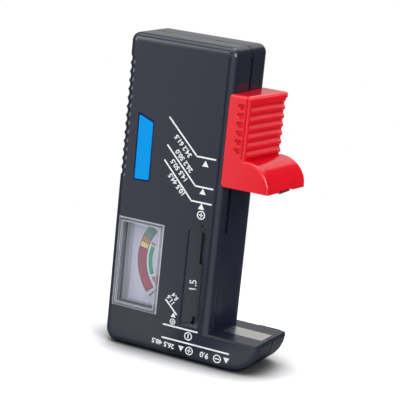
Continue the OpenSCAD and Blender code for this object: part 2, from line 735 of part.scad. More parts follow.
module carriage_pin_lower() { carriage_pin(pin_z_list[0]); }
module wiper_spring() {
  y1 = front_half_d - 3.5; y0 = rail_y + rail_t + 0.05; m = (web_z0 + web_z1) / 2; t = 0.25;
  color([0.8, 0.65, 0.3]) place() along_x(slide_wall_x - 4.1, slide_wall_x - 0.6)
    polygon([[y1, m + 5], [y1 - t, m + 5], [y1 - t, m + 2.4], [y0, m - 0.6], [y0, m - 1.6],
      [y1 - 1.4, m - 4.5], [y1 - 1.2, m - 4.6], [y0 + t, m - 1.5], [y0 + t, m - 0.7],
      [y1, m + 2.5]]);
}
module bus_rail() {
  color([0.8, 0.65, 0.3]) place()
    box([slide_wall_x - 4.4, rail_y, rail_z0], [slide_wall_x - 0.4, rail_y + rail_t, rail_z1]);
}

// ---- contacts ---------------------------------------------------------------------------------
module foot_contact() {
  color([0.82, 0.82, 0.8]) place() {
    box([foot_x0, mid_y - strip_w / 2, jaw_z - strip_t], [foot_x1, mid_y + strip_w / 2, jaw_z]);
    box([foot_cx, mid_y - 2, jaw_z - 6], [foot_cx + 0.5, mid_y + 2, jaw_z - strip_t + e]);
  }
}
module foot_link() {
  color([0.8, 0.65, 0.3]) place() {
    box([slide_wall_x - 3, mid_y - 2, jaw_z - 6.4], [foot_cx + 0.5, mid_y + 2, jaw_z - 6]);
  }
}
module end_contact(x) {
  z0 = 0.3; t = strip_t; w = end_w / 2;
  color([0.82, 0.82, 0.8]) place() along_y(mid_y - 4, mid_y + 4)
    polygon([[x - w, z0], [x + w, z0], [x + w, wall], [x + w + end_ear, wall],
      [x + w + end_ear, wall + t], [x + w - t, wall + t], [x + w - t, z0 + t], [x - w + t, z0 + t],
      [x - w + t, wall + t], [x - w - end_ear, wall + t], [x - w - end_ear, wall], [x - w, wall]]);
}
module end_contact_plus() { end_contact(end_x[0]); }
module end_contact_minus() { end_contact(end_x[1]); }
module cell_leaf_upper() {
  color([0.8, 0.8, 0.78]) place()
    along_x(trough_x1 - 0.4, trough_x1 - 0.05)
      polygon([[1.3, leaf_z0 + 1], [1.3, leaf_z1 - 1], [6.6, leaf_z1 - 0.4], [6.6, leaf_z0 + 0.4]]);
}
module cell_leaf_lower() {
  color([0.8, 0.8, 0.78]) place()
    box([trough_x1 - 3.2, 3.2, trough_z0 + 0.9], [trough_x1 - 2.4, frame_y0 - 0.3, trough_z0 + 3]);
}

// ---- circuit ------------------------------------------------------------------------------------
module circuit_board() {
  color([0.2, 0.45, 0.25]) place() difference() {
    box([board_x0, board_y, board_z0], [board_x0 + board_w, board_y + board_t, board_z0 + board_h]);
    for (x = board_holes_x, z = board_holes_z) pin(x, z, 0.9, board_y - 1, board_y + board_t + 1);
  }
}
module resistor(x, r, z0, l) {
  z1 = z0 + l;
  translate([board_x0 + x, board_y - r - 0.1, board_z0]) {
    translate([0, 0, z0]) cylinder(r = r, h = z1 - z0);
    for (z = [z0 - 2.5, z1 - 0.1]) translate([0, 0, z]) cylinder(r = 0.35, h = 2.6, $fn = 32);
    for (z = [z0 - 2.5, z1 + 2.5]) translate([0, -0.35, z]) rotate([-90, 0, 0])
      cylinder(r = 0.35, h = r + 0.45, $fn = 32);
  }
}
module load_resistor_a() {
  color([0.75, 0.68, 0.5]) place() resistor(board_w / 2 - 4, resistor_a_r, 7, resistor_a_l);
}
module load_resistor_b() {
  color([0.35, 0.45, 0.6]) place() resistor(board_w / 2 + 3.5, resistor_b_r, 8, resistor_b_l);
}
module case_screw(p) {
  color([0.7, 0.7, 0.72]) place() difference() {
    union() {
      pin(p[0], p[1], screw_r, 5, body_d - 2);
      pin(p[0], p[1], head_r, body_d - 2.4, body_d - 0.9);
    }
    for (a = [0, 90]) translate([p[0], 0, p[1]]) rotate([0, a, 0])
      box([-1.5, body_d - 1.8, -0.3], [1.5, body_d, 0.3]);
  }
}
module case_screw_top() { case_screw(screw_top); }
module case_screw_low() { case_screw(screw_low); }

front_shell();
rear_shell();
meter_cover();
scale_plate();
meter_frame();
iron_ring();
core_magnet();
core_bar();
pointer();
moving_coil();
pointer_shaft();
hairspring();
front_bearing();
rear_bearing();
slider();
slider_contact();
contact_rivet();
slide_carriage();
carriage_pin_upper();
carriage_pin_lower();
wiper_spring();
bus_rail();
foot_contact();
foot_link();
end_contact_plus();
end_contact_minus();
cell_leaf_upper();
cell_leaf_lower();
circuit_board();
load_resistor_a();
load_resistor_b();
case_screw_top();
case_screw_low();
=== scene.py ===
from math import atan2, cos, hypot, pi, radians, sin, tan

import bpy
from mathutils import Matrix, Vector


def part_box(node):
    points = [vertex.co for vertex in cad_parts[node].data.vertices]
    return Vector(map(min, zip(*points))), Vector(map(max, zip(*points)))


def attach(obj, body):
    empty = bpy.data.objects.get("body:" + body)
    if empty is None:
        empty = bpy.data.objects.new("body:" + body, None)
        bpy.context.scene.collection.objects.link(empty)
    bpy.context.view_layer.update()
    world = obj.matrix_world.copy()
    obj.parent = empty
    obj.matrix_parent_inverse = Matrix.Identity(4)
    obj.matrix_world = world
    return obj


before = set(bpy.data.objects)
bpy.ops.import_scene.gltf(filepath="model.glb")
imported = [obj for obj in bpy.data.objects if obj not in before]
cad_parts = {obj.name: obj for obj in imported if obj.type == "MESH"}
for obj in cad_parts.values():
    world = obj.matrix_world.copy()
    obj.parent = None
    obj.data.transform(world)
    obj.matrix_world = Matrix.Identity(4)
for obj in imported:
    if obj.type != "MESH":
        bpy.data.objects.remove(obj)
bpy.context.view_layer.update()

bl_info = {
    "name": "Battery tester dressing",
    "version": (1, 0, 0),
    "blender": (4, 5, 0),
    "location": "3D View > Sidebar > Tester",
    "description": "Finishes, printing and stage for a hand-held battery tester",
    "category": "Add Mesh",
}

MM = 0.001
CASE = "case"

# millimetres from the case's lower left front edge to the frame's origin
ORIGIN_X, ORIGIN_Y = 30.0, 12.0
# how far back the case's front face lies
FRONT = 0

# the clear cap's outer edge on the front: x and z of two corners
CAP_LOW, CAP_HIGH = (2.4, 13.9), (20.2, 45.9)
# how far in from that edge the cap's bevel and wall reach
CAP_RIM = 2.5 * MM

# a grey step behind the cap, painted shade of the cap's walls, widest at the left and top: its
# outer and inner corners, and its height
WALL_SHADE_OUTER = (3.4, 14.9), (19.25, 44.9)
WALL_SHADE_INNER = (5.9, 15.7), (18.95, 43.1)
WALL_SHADE_RISE = 0.5 * MM

# the pointer's axis on the front, and the plate's front face
AXIS_X, AXIS_Z = 27.6, 32.0
PLATE_Y = 5.0
# faces along each printed arc
ARC_STEPS = 24

# lowest finger groove on the slide, and the colours of the painted sheen on the grooves' lower
# slopes and the painted shade on their upper slopes
GROOVES_FROM = 73.4 * MM
GROOVE_PAINTED_SHEEN, GROOVE_PAINTED_SHADE = (0.84, 0.07, 0.09), (0.48, 0.001, 0.008)

# the trough's floor starts this far back at its left edge, and slopes back to the right
TROUGH_X, TROUGH_Y = 29.85, 0.55
TROUGH_SLOPE = 24.0

# printed figures: usual height and boldness in millimetres, and the font size per unit of height
FIGURE_HEIGHT, FIGURE_BOLD = 1.75, 0.08
FONT_SIZE = 1.38

# in metres: the floor's width, and how far from its middle it starts to whiten and is all white
FLOOR_SIZE = 6.0
WHITE_FROM, WHITE_BY = 0.05, 0.16

# the camera: what it looks at, its direction, turn, distance and lens
TARGET = (26.76, 12.0, 54.25)
AZIMUTH, ELEVATION, ROLL = 26.45, 12.95, 5.83
DISTANCE = 566.78 * MM
SENSOR = 36.0
LENS = SENSOR * 1639.34 / 400.0

# name, place, what it is aimed at, width and height, power in watts
LAMPS = (
    ("lamp_top", (-0.05, 0.05, 0.70), (0, 0, 0.06), (0.6, 0.6), 2.2),
    ("lamp_left", (-0.50, -0.45, 0.40), (0, 0, 0.06), (0.35, 0.6), 2.6),
    ("lamp_front", (0.05, -0.75, 0.30), (0, 0, 0.05), (0.5, 0.4), 0.6),
    ("lamp_right", (0.55, -0.30, 0.35), (0, 0, 0.06), (0.3, 0.4), 2.9),
    ("lamp_back", (0.0, 0.38, 0.75), (0, 0, 0.06), (0.4, 0.4), 0.9),
)

# the room that glossy faces see: degrees from the front, positive to the right, and brightness
ROOM_FLAGS = (
    (-180, 0.85), (-168, 0.8), (-159, 0.52), (-147, 0.5), (-132, 0.15), (-72, 0.15), (-50, 0.9),
    (-36, 1.0), (-25, 0.9), (-17, 0.14), (-2, 0.08), (8, 0.35), (18, 0.95), (55, 0.9),
    (72, 0.3), (90, 0.08), (167, 0.05), (171, 0.85), (180, 0.85),
)

# slanted cell marks: height of the level part, where it bends, the slanted part's far end,
# how far below the arrow stands, and a name
CELL_MARKS = (
    (71.95, 29.8, (18.1, 83.5), 2.3, "large"),
    (61.8, 30.3, (18.35, 73.9), 1.75, "medium"),
    (56.5, 29.3, (17.8, 68.6), 1.65, "small"),
)
MARK_RIGHT = 37.3

# each cell's diameter and length in millimetres, and where they are printed
CELL_FIGURES = (
    ("34.2 61.5", 24.4, 74.5), ("26.2 50.0", 25.3, 69.5), ("14.5 50.5", 23.8, 65.9),
    ("10.5 44.5", 23.4, 60.9),
)


def at(x, y, z):
    """A point given in millimetres from the case's lower left front edge."""
    return Vector(((x - ORIGIN_X) * MM, (y - ORIGIN_Y) * MM, z * MM))


# ---------------------------------------------------------------- sizes and colours

class TesterColours(bpy.types.PropertyGroup):
    """Colours of the tester's finishes"""
    case: bpy.props.FloatVectorProperty(
        name="Case", description="Moulded case plastic", subtype="COLOR", size=3,
        default=(0.014, 0.017, 0.031), min=0, max=1)
    slide: bpy.props.FloatVectorProperty(
        name="Slide", description="Moulded red slide", subtype="COLOR", size=3,
        default=(0.75, 0.003, 0.015), min=0, max=1)
    ink: bpy.props.FloatVectorProperty(
        name="Ink", description="White printing on the case", subtype="COLOR", size=3,
        default=(0.85, 0.86, 0.88), min=0, max=1)
    panel: bpy.props.FloatVectorProperty(
        name="Panel", description="Plain blue panel", subtype="COLOR", size=3,
        default=(0.0, 0.30, 0.78), min=0, max=1)
    panel_edge: bpy.props.FloatVectorProperty(
        name="Panel edge", description="Dark border of the blue panel", subtype="COLOR", size=3,
        default=(0.0, 0.014, 0.09), min=0, max=1)
    scale: bpy.props.FloatVectorProperty(
        name="Scale plate", description="Pale meter plate", subtype="COLOR", size=3,
        default=(0.66, 0.67, 0.81), min=0, max=1)
    low: bpy.props.FloatVectorProperty(
        name="Low band", description="Red band of the meter", subtype="COLOR", size=3,
        default=(0.38, 0.115, 0.17), min=0, max=1)
    middle: bpy.props.FloatVectorProperty(
        name="Middle band", description="Yellow band of the meter", subtype="COLOR", size=3,
        default=(0.86, 0.60, 0.32), min=0, max=1)
    good: bpy.props.FloatVectorProperty(
        name="Good band", description="Green band of the meter", subtype="COLOR", size=3,
        default=(0.18, 0.33, 0.29), min=0, max=1)


class TesterSizes(bpy.types.PropertyGroup):
    """Sizes of the printing, and the grain of the mouldings"""
    line: bpy.props.FloatProperty(
        name="Line width", description="Width of the printed lines", default=0.55 * MM,
        min=0.1 * MM, max=2 * MM, unit="LENGTH")
    film: bpy.props.FloatProperty(
        name="Ink film", description="Height of the printing above the case", default=0.03 * MM,
        min=0.01 * MM, max=0.2 * MM, unit="LENGTH")
    grain: bpy.props.FloatProperty(
        name="Grain", description="Depth of the moulded grain", default=0.02 * MM,
        min=0.0, max=0.2 * MM, unit="LENGTH")


def colours():
    return bpy.context.scene.tester_colours


def sizes():
    return bpy.context.scene.tester_sizes


# ---------------------------------------------------------------- shared shader groups

def socket(tree, name, kind, out=False, default=None):
    s = tree.interface.new_socket(name=name, in_out="OUTPUT" if out else "INPUT", socket_type=kind)
    if default is not None:
        s.default_value = default
    return s


def node(tree, kind, **props):
    n = tree.nodes.new(kind)
    for key, value in props.items():
        setattr(n, key, value)
    return n


def maths(tree, op, a, b=None, clamp=False):
    n = node(tree, "ShaderNodeMath", operation=op, use_clamp=clamp)
    for i, v in enumerate((a, b)):
        if v is None:
            continue
        if isinstance(v, (int, float)):
            n.inputs[i].default_value = v
        else:
            tree.links.new(v, n.inputs[i])
    return n.outputs[0]


def ramp(tree, value, stops):
    """A grey ramp along a value, through stops of place and level."""
    n = node(tree, "ShaderNodeValToRGB")
    marks = n.color_ramp.elements
    for el, (place, level) in zip((marks[0], marks[1]), (stops[0], stops[-1])):
        el.position = place
        el.color = (level, level, level, 1)
    for place, level in stops[1:-1]:
        marks.new(place).color = (level, level, level, 1)
    tree.links.new(value, n.inputs["Fac"])
    return n.outputs["Color"]


def room_tone():
    """Brightness of the room round the tester by compass direction: white, with dark flags."""
    g = bpy.data.node_groups.get("room_tone")
    if g:
        return g
    g = bpy.data.node_groups.new("room_tone", "ShaderNodeTree")
    socket(g, "Toward", "NodeSocketVector")
    socket(g, "Tone", "NodeSocketColor", out=True)
    i, o = node(g, "NodeGroupInput"), node(g, "NodeGroupOutput")
    axes = node(g, "ShaderNodeSeparateXYZ")
    g.links.new(i.outputs["Toward"], axes.inputs[0])
    front = maths(g, "MULTIPLY", axes.outputs["Y"], -1.0)
    angle = maths(g, "ARCTAN2", axes.outputs["X"], front)
    share = maths(g, "ADD", maths(g, "MULTIPLY", angle, 0.5 / pi), 0.5)
    around = ramp(g, share, [(d / 360 + 0.5, level) for d, level in ROOM_FLAGS])
    # the flags end well above the horizon
    over = node(g, "ShaderNodeMapRange", interpolation_type="SMOOTHSTEP")
    over.inputs["From Min"].default_value = 0.5
    over.inputs["From Max"].default_value = 0.62
    over.inputs["To Max"].default_value = 0.6
    g.links.new(axes.outputs["Z"], over.inputs["Value"])
    both = node(g, "ShaderNodeMix", data_type="RGBA", blend_type="LIGHTEN")
    both.inputs["Factor"].default_value = 1.0
    g.links.new(around, both.inputs["A"])
    g.links.new(over.outputs["Result"], both.inputs["B"])
    g.links.new(both.outputs["Result"], o.inputs["Tone"])
    return g


def moulded_grain():
    """Fine spark-eroded grain with slow mottling and a few scuffs."""
    g = bpy.data.node_groups.get("moulded_grain")
    if g:
        return g
    g = bpy.data.node_groups.new("moulded_grain", "ShaderNodeTree")
    socket(g, "Scale", "NodeSocketFloat", default=3200.0)
    socket(g, "Roughness", "NodeSocketFloat", default=0.45)
    socket(g, "Spread", "NodeSocketFloat", default=0.08)
    socket(g, "Height", "NodeSocketFloat", out=True)
    socket(g, "Rough", "NodeSocketFloat", out=True)
    socket(g, "Shade", "NodeSocketFloat", out=True)
    i, o = node(g, "NodeGroupInput"), node(g, "NodeGroupOutput")
    pos = node(g, "ShaderNodeTexCoord").outputs["Object"]
    fine = node(g, "ShaderNodeTexNoise")
    fine.inputs["Detail"].default_value = 3.0
    fine.inputs["Roughness"].default_value = 0.6
    g.links.new(pos, fine.inputs["Vector"])
    g.links.new(i.outputs["Scale"], fine.inputs["Scale"])
    slow = node(g, "ShaderNodeTexNoise")
    slow.inputs["Scale"].default_value = 90.0
    slow.inputs["Detail"].default_value = 4.0
    g.links.new(pos, slow.inputs["Vector"])
    stretch = node(g, "ShaderNodeMapping")
    stretch.inputs["Scale"].default_value = (1500, 1500, 160)
    stretch.inputs["Rotation"].default_value = (0.0, 0.5, 0.2)
    g.links.new(pos, stretch.inputs["Vector"])
    scuff = node(g, "ShaderNodeTexNoise")
    scuff.inputs["Scale"].default_value = 1.0
    scuff.inputs["Detail"].default_value = 1.0
    g.links.new(stretch.outputs[0], scuff.inputs["Vector"])
    marks = maths(g, "MULTIPLY", maths(g, "SUBTRACT", scuff.outputs["Fac"], 0.66, clamp=True), 0.5)
    drift = maths(g, "MULTIPLY", maths(g, "SUBTRACT", slow.outputs["Fac"], 0.5),
                  i.outputs["Spread"])
    rough = maths(g, "ADD", i.outputs["Roughness"], maths(g, "MULTIPLY", drift, 2.0))
    rough = maths(g, "ADD", rough, maths(g, "MULTIPLY", marks, 0.25))
    g.links.new(fine.outputs["Fac"], o.inputs["Height"])
    g.links.new(rough, o.inputs["Rough"])
    shade = maths(g, "ADD", maths(g, "MULTIPLY", slow.outputs["Fac"], 0.8), marks, clamp=True)
    g.links.new(shade, o.inputs["Shade"])
    return g


def edge_rub():
    """A mask that is 1 on sharp edges, where handling polishes or whitens them."""
    g = bpy.data.node_groups.get("edge_rub")
    if g:
        return g
    g = bpy.data.node_groups.new("edge_rub", "ShaderNodeTree")
    socket(g, "Radius", "NodeSocketFloat", default=0.0003)
    socket(g, "Amount", "NodeSocketFloat", default=1.0)
    socket(g, "Mask", "NodeSocketFloat", out=True)
    i, o = node(g, "NodeGroupInput"), node(g, "NodeGroupOutput")
    bevel = node(g, "ShaderNodeBevel", samples=4)
    g.links.new(i.outputs["Radius"], bevel.inputs["Radius"])
    geo = node(g, "ShaderNodeNewGeometry")
    dot = node(g, "ShaderNodeVectorMath", operation="DOT_PRODUCT")
    g.links.new(bevel.outputs[0], dot.inputs[0])
    g.links.new(geo.outputs["Normal"], dot.inputs[1])
    edge = maths(g, "SUBTRACT", 1.0, dot.outputs["Value"], clamp=True)
    break_up = node(g, "ShaderNodeTexNoise")
    break_up.inputs["Scale"].default_value = 400.0
    g.links.new(node(g, "ShaderNodeTexCoord").outputs["Object"], break_up.inputs["Vector"])
    worn = maths(g, "MULTIPLY", maths(g, "MULTIPLY", edge, break_up.outputs["Fac"]),
                 i.outputs["Amount"], clamp=True)
    g.links.new(worn, o.inputs["Mask"])
    return g


def rolled_metal():
    """Fine lines along rolled strip, and slight tarnish."""
    g = bpy.data.node_groups.get("rolled_metal")
    if g:
        return g
    g = bpy.data.node_groups.new("rolled_metal", "ShaderNodeTree")
    socket(g, "Roughness", "NodeSocketFloat", default=0.25)
    socket(g, "Height", "NodeSocketFloat", out=True)
    socket(g, "Rough", "NodeSocketFloat", out=True)
    socket(g, "Tarnish", "NodeSocketFloat", out=True)
    i, o = node(g, "NodeGroupInput"), node(g, "NodeGroupOutput")
    pos = node(g, "ShaderNodeTexCoord").outputs["Object"]
    stretch = node(g, "ShaderNodeMapping")
    stretch.inputs["Scale"].default_value = (120, 4000, 4000)
    g.links.new(pos, stretch.inputs["Vector"])
    lines = node(g, "ShaderNodeTexNoise")
    lines.inputs["Scale"].default_value = 1.0
    lines.inputs["Detail"].default_value = 2.0
    g.links.new(stretch.outputs[0], lines.inputs["Vector"])
    spots = node(g, "ShaderNodeTexNoise")
    spots.inputs["Scale"].default_value = 350.0
    spots.inputs["Detail"].default_value = 5.0
    g.links.new(pos, spots.inputs["Vector"])
    g.links.new(lines.outputs["Fac"], o.inputs["Height"])
    rough = maths(g, "ADD", i.outputs["Roughness"],
                  maths(g, "MULTIPLY", maths(g, "SUBTRACT", spots.outputs["Fac"], 0.5), 0.3))
    g.links.new(maths(g, "ADD", rough, maths(g, "MULTIPLY", lines.outputs["Fac"], 0.08)),
                o.inputs["Rough"])
    g.links.new(maths(g, "SUBTRACT", spots.outputs["Fac"], 0.3, clamp=True), o.inputs["Tarnish"])
    return g


def grouped(tree, group, **values):
    n = node(tree, "ShaderNodeGroup")
    n.node_tree = group
    for key, value in values.items():
        n.inputs[key].default_value = value
    return n


def blank(name):
    m = bpy.data.materials.get(name)
    if m:
        return m, None, None
    m = bpy.data.materials.new(name)
    m.use_nodes = True
    tree = m.node_tree
    return m, tree, tree.nodes["Principled BSDF"]


def mixed(tree, factor, a, b):
    n = node(tree, "ShaderNodeMix", data_type="RGBA")
    n.inputs["A"].default_value = (*a, 1)
    n.inputs["B"].default_value = (*b, 1)
    if isinstance(factor, (int, float)):
        n.inputs["Factor"].default_value = factor
    else:
        tree.links.new(factor, n.inputs["Factor"])
    return n


def lighter(c, k):
    return tuple(min(1.0, v * k) for v in c)


def moulded(name, colour, rough, grain_scale=3200.0, depth=None, rub=0.5, spread=0.08,
            level=0.5):
    """Injection-moulded plastic with grain, mottling and rubbed edges."""
    m, t, bsdf = blank(name)
    if not t:
        return m
    grain = grouped(t, moulded_grain(), Scale=grain_scale, Roughness=rough, Spread=spread)
    worn = grouped(t, edge_rub(), Radius=0.00025, Amount=rub)
    base = mixed(t, grain.outputs["Shade"], lighter(colour, 0.88), lighter(colour, 1.14))
    top = mixed(t, worn.outputs["Mask"], colour, tuple(v * 0.6 + 0.12 for v in colour))
    t.links.new(base.outputs["Result"], top.inputs["A"])
    t.links.new(top.outputs["Result"], bsdf.inputs["Base Color"])
    t.links.new(grain.outputs["Rough"], bsdf.inputs["Roughness"])
    bump = node(t, "ShaderNodeBump")
    bump.inputs["Strength"].default_value = 0.35
    bump.inputs["Distance"].default_value = depth if depth is not None else sizes().grain
    t.links.new(grain.outputs["Height"], bump.inputs["Height"])
    t.links.new(bump.outputs[0], bsdf.inputs["Normal"])
    bsdf.inputs["Specular IOR Level"].default_value = level
    return m


def painted_groove_light(m, bottom, pale, shade_tone):
    """Painted light in the finger grooves above a height, on faces turned to +x: painted sheen on
    the upward-facing lower slopes and painted shade on the downward-facing upper slopes.
    """
    t = m.node_tree
    base = t.nodes["Principled BSDF"].inputs["Base Color"]
    if base.links[0].from_node.label == "grooves":
        return m
    facing = node(t, "ShaderNodeSeparateXYZ")
    t.links.new(node(t, "ShaderNodeNewGeometry").outputs["Normal"], facing.inputs[0])
    place = node(t, "ShaderNodeSeparateXYZ")
    t.links.new(node(t, "ShaderNodeTexCoord").outputs["Object"], place.inputs[0])
    zone = maths(t, "MULTIPLY", maths(t, "GREATER_THAN", place.outputs["Z"], bottom),
                 maths(t, "GREATER_THAN", facing.outputs["X"], 0.15))
    # the first colour is the painted sheen on upward-facing slopes, the second the painted shade
    # on downward-facing ones
    for sign, lo, hi, colour in ((1.0, 0.08, 0.3, pale), (-1.0, 0.15, 0.5, shade_tone)):
        slope = node(t, "ShaderNodeMapRange", interpolation_type="SMOOTHSTEP")
        slope.inputs["From Min"].default_value = lo
        slope.inputs["From Max"].default_value = hi
        t.links.new(maths(t, "MULTIPLY", facing.outputs["Z"], sign), slope.inputs["Value"])
        shade = mixed(t, maths(t, "MULTIPLY", slope.outputs["Result"], zone), colour, colour)
        shade.label = "grooves"
        t.links.new(base.links[0].from_socket, shade.inputs["A"])
        t.links.new(shade.outputs["Result"], base)
    return m


def metal(name, colour, rough, dull):
    m, t, bsdf = blank(name)
    if not t:
        return m
    rolled = grouped(t, rolled_metal(), Roughness=rough)
    base = mixed(t, rolled.outputs["Tarnish"], colour, dull)
    t.links.new(base.outputs["Result"], bsdf.inputs["Base Color"])
    t.links.new(rolled.outputs["Rough"], bsdf.inputs["Roughness"])
    bump = node(t, "ShaderNodeBump")
    bump.inputs["Strength"].default_value = 0.2
    bump.inputs["Distance"].default_value = 0.01 * MM
    t.links.new(rolled.outputs["Height"], bump.inputs["Height"])
    t.links.new(bump.outputs[0], bsdf.inputs["Normal"])
    bsdf.inputs["Metallic"].default_value = 1.0
    return m


def printed(name, colour, rough=0.5, level=0.5):
    """Ink with slight wear and pinholes."""
    m, t, bsdf = blank(name)
    if not t:
        return m
    grain = grouped(t, moulded_grain(), Scale=5200.0, Roughness=rough, Spread=0.05)
    base = mixed(t, grain.outputs["Shade"], lighter(colour, 0.92), lighter(colour, 1.06))
    t.links.new(base.outputs["Result"], bsdf.inputs["Base Color"])
    t.links.new(grain.outputs["Rough"], bsdf.inputs["Roughness"])
    bump = node(t, "ShaderNodeBump")
    bump.inputs["Strength"].default_value = 0.15
    bump.inputs["Distance"].default_value = 0.01 * MM
    t.links.new(grain.outputs["Height"], bump.inputs["Height"])
    t.links.new(bump.outputs[0], bsdf.inputs["Normal"])
    bsdf.inputs["Specular IOR Level"].default_value = level
    return m


def painted_wall_streaks(name, colour):
    """Painted shade of the cap's walls: grey, with upright painted streaks of the walls seen
    through the cap.
    """
    m, t, bsdf = blank(name)
    if not t:
        return m
    stretch = node(t, "ShaderNodeMapping")
    stretch.inputs["Scale"].default_value = (2600, 800, 40)
    t.links.new(node(t, "ShaderNodeTexCoord").outputs["Object"], stretch.inputs["Vector"])
    lines = node(t, "ShaderNodeTexNoise")
    lines.inputs["Scale"].default_value = 1.0
    lines.inputs["Detail"].default_value = 2.0
    t.links.new(stretch.outputs[0], lines.inputs["Vector"])
    spread = node(t, "ShaderNodeMapRange")
    spread.inputs["From Min"].default_value = 0.35
    spread.inputs["From Max"].default_value = 0.65
    t.links.new(lines.outputs["Fac"], spread.inputs["Value"])
    base = mixed(t, spread.outputs["Result"], lighter(colour, 0.72), lighter(colour, 1.2))
    t.links.new(base.outputs["Result"], bsdf.inputs["Base Color"])
    bsdf.inputs["Roughness"].default_value = 0.4
    return m


def clear_plastic(name):
    """Clear polished cap with painted highlights along its bevel and painted shade over its walls,
    and faint moulding swirls.
    """
    low, high = (at(x, 0, z) for x, z in (CAP_LOW, CAP_HIGH))
    m, t, bsdf = blank(name)
    if not t:
        return m
    swirl = node(t, "ShaderNodeTexNoise")
    swirl.inputs["Scale"].default_value = 120.0
    t.links.new(node(t, "ShaderNodeTexCoord").outputs["Object"], swirl.inputs["Vector"])
    span = node(t, "ShaderNodeMapRange")
    span.inputs["To Min"].default_value = 0.02
    span.inputs["To Max"].default_value = 0.07
    t.links.new(swirl.outputs["Fac"], span.inputs["Value"])
    t.links.new(span.outputs[0], bsdf.inputs["Roughness"])
    axes = node(t, "ShaderNodeSeparateXYZ")
    t.links.new(node(t, "ShaderNodeTexCoord").outputs["Object"], axes.inputs[0])
    edge = None
    for axis, lo, hi in (("X", low.x, high.x), ("Z", low.z, high.z)):
        off = maths(t, "ABSOLUTE", maths(t, "SUBTRACT", axes.outputs[axis], (lo + hi) / 2))
        near = maths(t, "SUBTRACT", (hi - lo) / 2, off)
        edge = near if edge is None else maths(t, "MINIMUM", edge, near)
    inward = maths(t, "MULTIPLY", edge, 1.0 / CAP_RIM)
    # opacity and colour from the edge in: a painted highlight at the outer edge, painted shade on
    # the grey wall, a painted highlight at the bright inner line, then the clear middle
    edge_opacity = ((0.0, 0.62), (0.11, 0.60), (0.15, 0.42), (0.47, 0.38), (0.50, 0.62), (0.56, 0.58),
            (0.60, 0.07), (1.0, 0.04))
    shade = ((0.0, 0.75), (0.11, 0.72), (0.15, 0.20), (0.47, 0.17), (0.50, 0.85), (0.56, 0.80),
             (0.60, 0.55), (1.0, 0.60))
    # the opaque parts carry the painted highlights and shade along the cap's edges
    t.links.new(ramp(t, inward, edge_opacity), bsdf.inputs["Alpha"])
    tint = node(t, "ShaderNodeMix", data_type="RGBA", blend_type="MULTIPLY")
    tint.inputs["Factor"].default_value = 1.0
    tint.inputs["B"].default_value = (0.88, 0.90, 1.0, 1)
    t.links.new(ramp(t, inward, shade), tint.inputs["A"])
    t.links.new(tint.outputs["Result"], bsdf.inputs["Base Color"])
    bsdf.inputs["IOR"].default_value = 1.49
    return m


# ---------------------------------------------------------------- modelling helpers

def deselect():
    if bpy.context.object and bpy.context.object.mode != "OBJECT":
        bpy.ops.object.mode_set(mode="OBJECT")
    bpy.ops.object.select_all(action="DESELECT")


def settled(obj, name, material):
    """Applies the placing, names the piece, gives it its finish and puts it on the case."""
    deselect()
    obj.select_set(True)
    bpy.context.view_layer.objects.active = obj
    bpy.ops.object.transform_apply(location=True, rotation=True, scale=True)
    obj.name = obj.data.name = name
    obj.data.materials.clear()
    obj.data.materials.append(material)
    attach(obj, CASE)
    return obj


def raise_film(obj, height):
    """Gives a flat face its thickness, away from the case."""
    deselect()
    obj.select_set(True)
    bpy.context.view_layer.objects.active = obj
    bpy.ops.object.transform_apply(location=True, rotation=True, scale=True)
    bpy.ops.object.mode_set(mode="EDIT")
    bpy.ops.mesh.select_all(action="SELECT")
    bpy.ops.mesh.extrude_region_move(TRANSFORM_OT_translate={"value": (0, -height, 0)})
    bpy.ops.mesh.select_all(action="SELECT")
    bpy.ops.mesh.normals_make_consistent(inside=False)
    bpy.ops.object.mode_set(mode="OBJECT")


def joined(parts):
    """Joins a list of objects into its first."""
    deselect()
    for p in parts:
        p.select_set(True)
    bpy.context.view_layer.objects.active = parts[0]
    if len(parts) > 1:
        bpy.ops.object.join()
    return parts[0]


def stroke(p, q, width, y):
    """A flat printed line from p to q on the plane y, with rounded ends."""
    deselect()
    (x0, z0), (x1, z1) = p, q
    length = hypot(x1 - x0, z1 - z0) * MM
    bpy.ops.mesh.primitive_plane_add(size=1, location=(0, 0, 0))
    o = bpy.context.object
    o.scale = (length, width, 1)
    bpy.ops.object.transform_apply(location=False, rotation=False, scale=True)
    bpy.ops.object.mode_set(mode="EDIT")
    bpy.ops.mesh.select_all(action="SELECT")
    bpy.ops.mesh.bevel(offset=width * 0.3, segments=3, affect="VERTICES")
    bpy.ops.object.mode_set(mode="OBJECT")
    o.matrix_world = (Matrix.Translation(at((x0 + x1) / 2, y, (z0 + z1) / 2))
                      @ Matrix.Rotation(-atan2(z1 - z0, x1 - x0), 4, "Y")
                      @ Matrix.Rotation(pi / 2, 4, "X"))
    return o


def disc(x, z, r, y, sides=40, turn=0.0):
    """A flat disc, or with few sides a flat polygon, on the plane y."""
    deselect()
    bpy.ops.mesh.primitive_circle_add(vertices=sides, radius=r * MM, fill_type="NGON",
                                      location=(0, 0, 0))
    o = bpy.context.object
    o.matrix_world = (Matrix.Translation(at(x, y, z)) @ Matrix.Rotation(pi / 2, 4, "X")
                      @ Matrix.Rotation(turn, 4, "Z"))
    return o


def ring(x, z, r, w, y):
    """A flat ring: a disc whose middle is inset and removed."""
    o = disc(x, z, r, y)
    bpy.ops.object.transform_apply(location=True, rotation=True, scale=True)
    bpy.ops.object.mode_set(mode="EDIT")
    bpy.ops.mesh.select_all(action="SELECT")
    bpy.ops.mesh.inset(thickness=w * MM, depth=0)
    bpy.ops.mesh.delete(type="FACE")
    bpy.ops.object.mode_set(mode="OBJECT")
    return o


